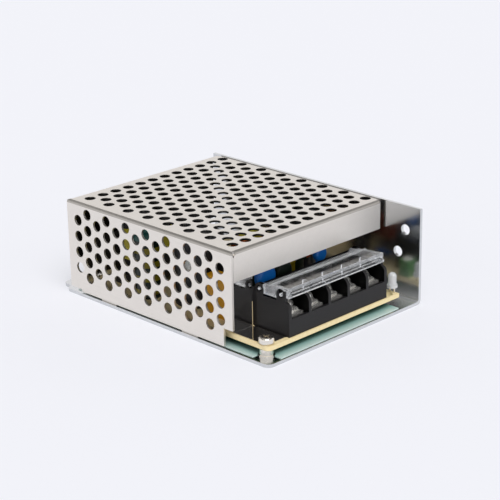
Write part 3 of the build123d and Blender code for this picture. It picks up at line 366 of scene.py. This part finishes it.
# Trimmer. A small green thermoplastic housing, moulded, that stands on the board.
# A white rotor with a screwdriver slot sits in its top and turns between stops.
green_plastic, tree, shader = new_material("moulded_green_plastic")
shader.inputs["Base Color"].default_value = linear("5E8A5A")
shader.inputs["Roughness"].default_value = 0.4
paint(green_plastic, "trimmer_body")
white_plastic, tree, shader = new_material("moulded_white_plastic")
shader.inputs["Base Color"].default_value = linear("E8E6DE")
shader.inputs["Roughness"].default_value = 0.4
paint(white_plastic, "trimmer_rotor")

# Film capacitor. A moulded orange polypropylene box that is filled with resin.
# It stands on the board just inside the cover's left side, and shows through its holes.
orange_box, tree, shader = new_material("moulded_orange_polypropylene")
shader.inputs["Base Color"].default_value = linear("E8A616")
shader.inputs["Roughness"].default_value = 0.35
paint(orange_box, "film_capacitor")

# Varistor and disc capacitor. Ceramic discs on two leads, dipped in blue epoxy that dries glossy.
# The small resistors are lacquered in the same blue.
blue_dip, tree, shader = new_material("dipped_blue_epoxy")
shader.inputs["Base Color"].default_value = linear("0666BA")
shader.inputs["Roughness"].default_value = 0.3
paint(blue_dip, "varistor", "disc_capacitor", "resistors")

# Thermistor. A ceramic disc dipped in dark green phenolic, which dries almost black.
# It stands between the two blue discs behind the block.
green_dip, tree, shader = new_material("dipped_green_phenolic")
shader.inputs["Base Color"].default_value = linear("08140C")
shader.inputs["Roughness"].default_value = 0.45
shader.inputs["Specular IOR Level"].default_value = 0.2
paint(green_dip, "thermistor")

# Fuse. Its wire is sealed in a small round case of brown phenolic.
# The case is moulded, with a dull shine, and stands on the board.
brown_case, tree, shader = new_material("moulded_brown_phenolic")
shader.inputs["Base Color"].default_value = linear("4A2A1A")
shader.inputs["Roughness"].default_value = 0.45
paint(brown_case, "fuse")

# Ferrite cores. The choke's and the transformer's cores are pressed, sintered and ground.
# They come out dark grey, with a dull metal sheen.
ferrite, tree, shader = new_material("sintered_ferrite")
shader.inputs["Base Color"].default_value = linear("2C2B2D")
shader.inputs["Roughness"].default_value = 0.55
paint(ferrite, "choke_core", "transformer_core")

# Coils. Enamelled copper wire, wound in layers. The choke's two coils are wrapped in dark green
# tape, with a yellow tape's end between them, and show their copper at the right.
enamelled, tree, shader = new_material("enamelled_copper_wire")
shader.inputs["Base Color"].default_value = linear("A4521E")
shader.inputs["Metallic"].default_value = 0.8
shader.inputs["Roughness"].default_value = 0.3
paint(enamelled, "output_choke_winding")
wrapped, tree, shader = new_material("tape_wrapped_coils")
coils_left, coils_right = -12, 14
place = add_node(tree, "TexCoord")
axes = add_node(tree, "SeparateXYZ", {"Vector": place.outputs["Object"]})
across = add_node(tree, "MapRange", {
    "Value": axes.outputs["X"], "From Min": coils_left * MM, "From Max": coils_right * MM})
wraps = add_node(tree, "ValToRGB", {"Fac": across.outputs["Result"]})
wraps.color_ramp.interpolation = "CONSTANT"
stops = wraps.color_ramp.elements
stops.remove(stops[1])
stops[0].color = linear("0A1A10")
for start, colour in ((1.0, "8A7A14"), (5.68, "0C2012"), (11.4, "9A3C16")):
    stops.new((start - coils_left) / (coils_right - coils_left)).color = linear(colour)
tree.links.new(wraps.outputs["Color"], shader.inputs["Base Color"])
shader.inputs["Roughness"].default_value = 0.4
shader.inputs["Specular IOR Level"].default_value = 0.25
paint(wrapped, "choke_coils")

# Transformer winding and tape. Yellow polyester tape over the wound bobbin and round the core.
# The output choke's powder core is painted the same yellow.
yellow_tape, tree, shader = new_material("yellow_polyester_tape")
shader.inputs["Base Color"].default_value = linear("C9BC3A")
shader.inputs["Roughness"].default_value = 0.35
paint(yellow_tape, "transformer_winding", "transformer_tape", "output_choke_core")

# Supply capacitor. A tall can in teal shrink sleeve, in front of the transformer, with turns of
# yellow tape wound round it below its top.
teal_sleeve, tree, shader = new_material("teal_shrink_sleeve")
tape_pitch, tape_gap, tape_top = 5.2 * MM, 1.5 * MM, 27
place = add_node(tree, "TexCoord")
axes = add_node(tree, "SeparateXYZ", {"Vector": place.outputs["Object"]})
turn = add_node(tree, "Math", {0: axes.outputs["Z"], 1: tape_pitch / 2}, operation="PINGPONG")
taped = add_node(tree, "Math", {0: turn.outputs[0], 1: tape_gap}, operation="GREATER_THAN")
wound = region(tree, Z=(-beyond, tape_top))
bands = add_node(tree, "Math", {0: taped.outputs[0], 1: wound}, operation="MULTIPLY")
sleeve = add_node(tree, "Mix", {
    0: wound, mix_a: linear("0A5650"), mix_b: linear("0A1E18")}, data_type="RGBA")
colour = add_node(tree, "Mix", {
    0: bands.outputs[0], mix_a: sleeve.outputs[mixed], mix_b: linear("8C8018")}, data_type="RGBA")
tree.links.new(colour.outputs[mixed], shader.inputs["Base Color"])
shader.inputs["Roughness"].default_value = 0.35
paint(teal_sleeve, "supply_capacitor")

# Electrolytic capacitors. Drawn aluminium cans in black shrink sleeve, which is smooth and shiny.
# The bulk capacitor smooths the mains side, and the rest the output and its filter.
black_sleeve, tree, shader = new_material("black_shrink_sleeve")
shader.inputs["Base Color"].default_value = linear("1B1A1D")
shader.inputs["Roughness"].default_value = 0.3
paint(black_sleeve, "bulk_capacitor", "output_capacitors", "filter_capacitor")

# Black mouldings. The chips, rectifiers and transistor are moulded in epoxy, and the choke's base
# and the transformer's bobbin in the block's plastic. All have a fine grain and a soft sheen.
moulded_black, tree, shader = new_material("moulded_black_pbt")
grit = grain(tree, across=0.02, along=0.02, detail=2)
flow = grain(tree, across=0.3, along=0.3, detail=2)
tone = add_node(tree, "Mix", {
    0: flow, mix_a: linear("191819"), mix_b: linear("232123")}, data_type="RGBA")
ripple = add_node(tree, "Bump", {"Height": grit, "Strength": 0.25, "Distance": 0.03 * MM})
tree.links.new(tone.outputs[mixed], shader.inputs["Base Color"])
tree.links.new(ripple.outputs["Normal"], shader.inputs["Normal"])
shader.inputs["Roughness"].default_value = 0.42
paint(moulded_black, "controller_chip", "optocoupler", "bridge_rectifier", "switching_transistor",
      "output_diode", "choke_base", "transformer_bobbin", "diodes")

# Pads and clamp bar. Grey filled silicone rubber pads lie between the packages and the wall.
# A bar of dark oiled spring steel presses the packages on them, held by one screw.
grey_pad, tree, shader = new_material("filled_silicone_rubber")
shader.inputs["Base Color"].default_value = linear("8E9698")
shader.inputs["Roughness"].default_value = 0.7
paint(grey_pad, "insulator_pads")
spring_steel, tree, shader = new_material("oiled_spring_steel")
shader.inputs["Base Color"].default_value = linear("5A5A5C")
shader.inputs["Metallic"].default_value = 1.0
shader.inputs["Roughness"].default_value = 0.35
paint(spring_steel, "clamp_bar")
paint(nickel, "clamp_bar_screw")

# Barrier. Dark fish paper, cut to a strip and stood on edge behind the transformer.
# Its pressed fibres leave it matte, with a faint mottle.
barrier_middle = Vector((-19.0, 43.7, 12.4)) * MM
barrier_size = Vector((31.0, 0.5, 14.0)) * MM
barrier_mesh = bpy.data.meshes.new("back_barrier")
strip = bmesh.new()
bmesh.ops.create_cube(strip, size=1.0, matrix=Matrix.LocRotScale(barrier_middle, None, barrier_size))
strip.to_mesh(barrier_mesh)
strip.free()
fish_paper, tree, shader = new_material("dark_fish_paper")
fibre = grain(tree, across=0.06, along=0.06, detail=3)
tone = add_node(tree, "Mix", {
    0: fibre, mix_a: linear("15130F"), mix_b: linear("2A2620")}, data_type="RGBA")
tree.links.new(tone.outputs[mixed], shader.inputs["Base Color"])
shader.inputs["Roughness"].default_value = 0.7
barrier_mesh.materials.append(fish_paper)
barrier = bpy.data.objects.new("back_barrier", barrier_mesh)
bpy.context.collection.objects.link(barrier)
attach(barrier, "case")

# Silicone bead. White sealant, squeezed between two capacitors so that they don't rattle.
# It cures to a soft rubber with a low shine that lets a little light in.
sealant, tree, shader = new_material("cured_white_silicone")
shader.inputs["Base Color"].default_value = linear("EDEBE6")
shader.inputs["Roughness"].default_value = 0.45
shader.inputs["Subsurface Weight"].default_value = 0.1
paint(sealant, "silicone_bead")

# Cover. One blank of satin zinc-plated steel, 0.8 mm thick, punched before it was folded at four
# edges, then screwed to the wall over the board. Its inner face and the walls of the top's holes are
# painted dark, as painted shade inside the case, and a greyer band along the top's left and front
# folds is a painted reflection of the dim band overhead.
satin_steel, tree, shader = new_material("satin_zinc_plated_steel")
inner_depth, rim_depth, fold_reach = 0.75, 0.15, 1.1
cover_low, cover_high = (Vector(corner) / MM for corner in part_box("cover"))
rolling_lines = grain(tree, across=0.3, along=9, detail=4, roughness=0.6)  # coarser than real, to show
cloud = grain(tree, across=1.8, along=2.8, detail=3)
blend = add_node(tree, "Mix", {"Factor": 0.35, "A": rolling_lines, "B": cloud})
tone = add_node(tree, "Mix", {
    0: blend.outputs[0], mix_a: linear("DDD8D1"), mix_b: linear("F0EBE4")}, data_type="RGBA")
gloss = add_node(tree, "MapRange", {"Value": cloud, "To Min": 0.34, "To Max": 0.46})
ripple = add_node(tree, "Bump", {"Height": rolling_lines, "Strength": 0.10, "Distance": 0.03 * MM})
top_edge = (cover_high.z - fold_reach, beyond)
# painted reflection: a greyer band along the top's left and front folds
painted_fold_shade = add_node(tree, "Math", {
    0: region(tree, X=(-beyond, cover_low.x + fold_reach), Z=top_edge),
    1: region(tree, Y=(-beyond, cover_low.y + fold_reach), Z=top_edge)}, operation="MAXIMUM")
fold_shaded = add_node(tree, "Mix", {
    0: painted_fold_shade.outputs[0], mix_a: tone.outputs[mixed], mix_b: linear("B4B0AA")}, data_type="RGBA")
# painted shade: the inner face and the walls of the top's holes are coloured dark
painted_inner_shade = region(
    tree, X=(cover_low.x + inner_depth, cover_high.x - inner_depth),
    Y=(cover_low.y + inner_depth, cover_high.y - inner_depth), Z=(-beyond, cover_high.z - rim_depth))
sides = add_node(tree, "Mix", {
    0: painted_inner_shade, mix_a: fold_shaded.outputs[mixed], mix_b: linear("3A3938")}, data_type="RGBA")
tree.links.new(sides.outputs[mixed], shader.inputs["Base Color"])
tree.links.new(gloss.outputs["Result"], shader.inputs["Roughness"])
tree.links.new(ripple.outputs["Normal"], shader.inputs["Normal"])
shader.inputs["Metallic"].default_value = 1.0
paint(satin_steel, "cover")
paint(nickel, "cover_screws")
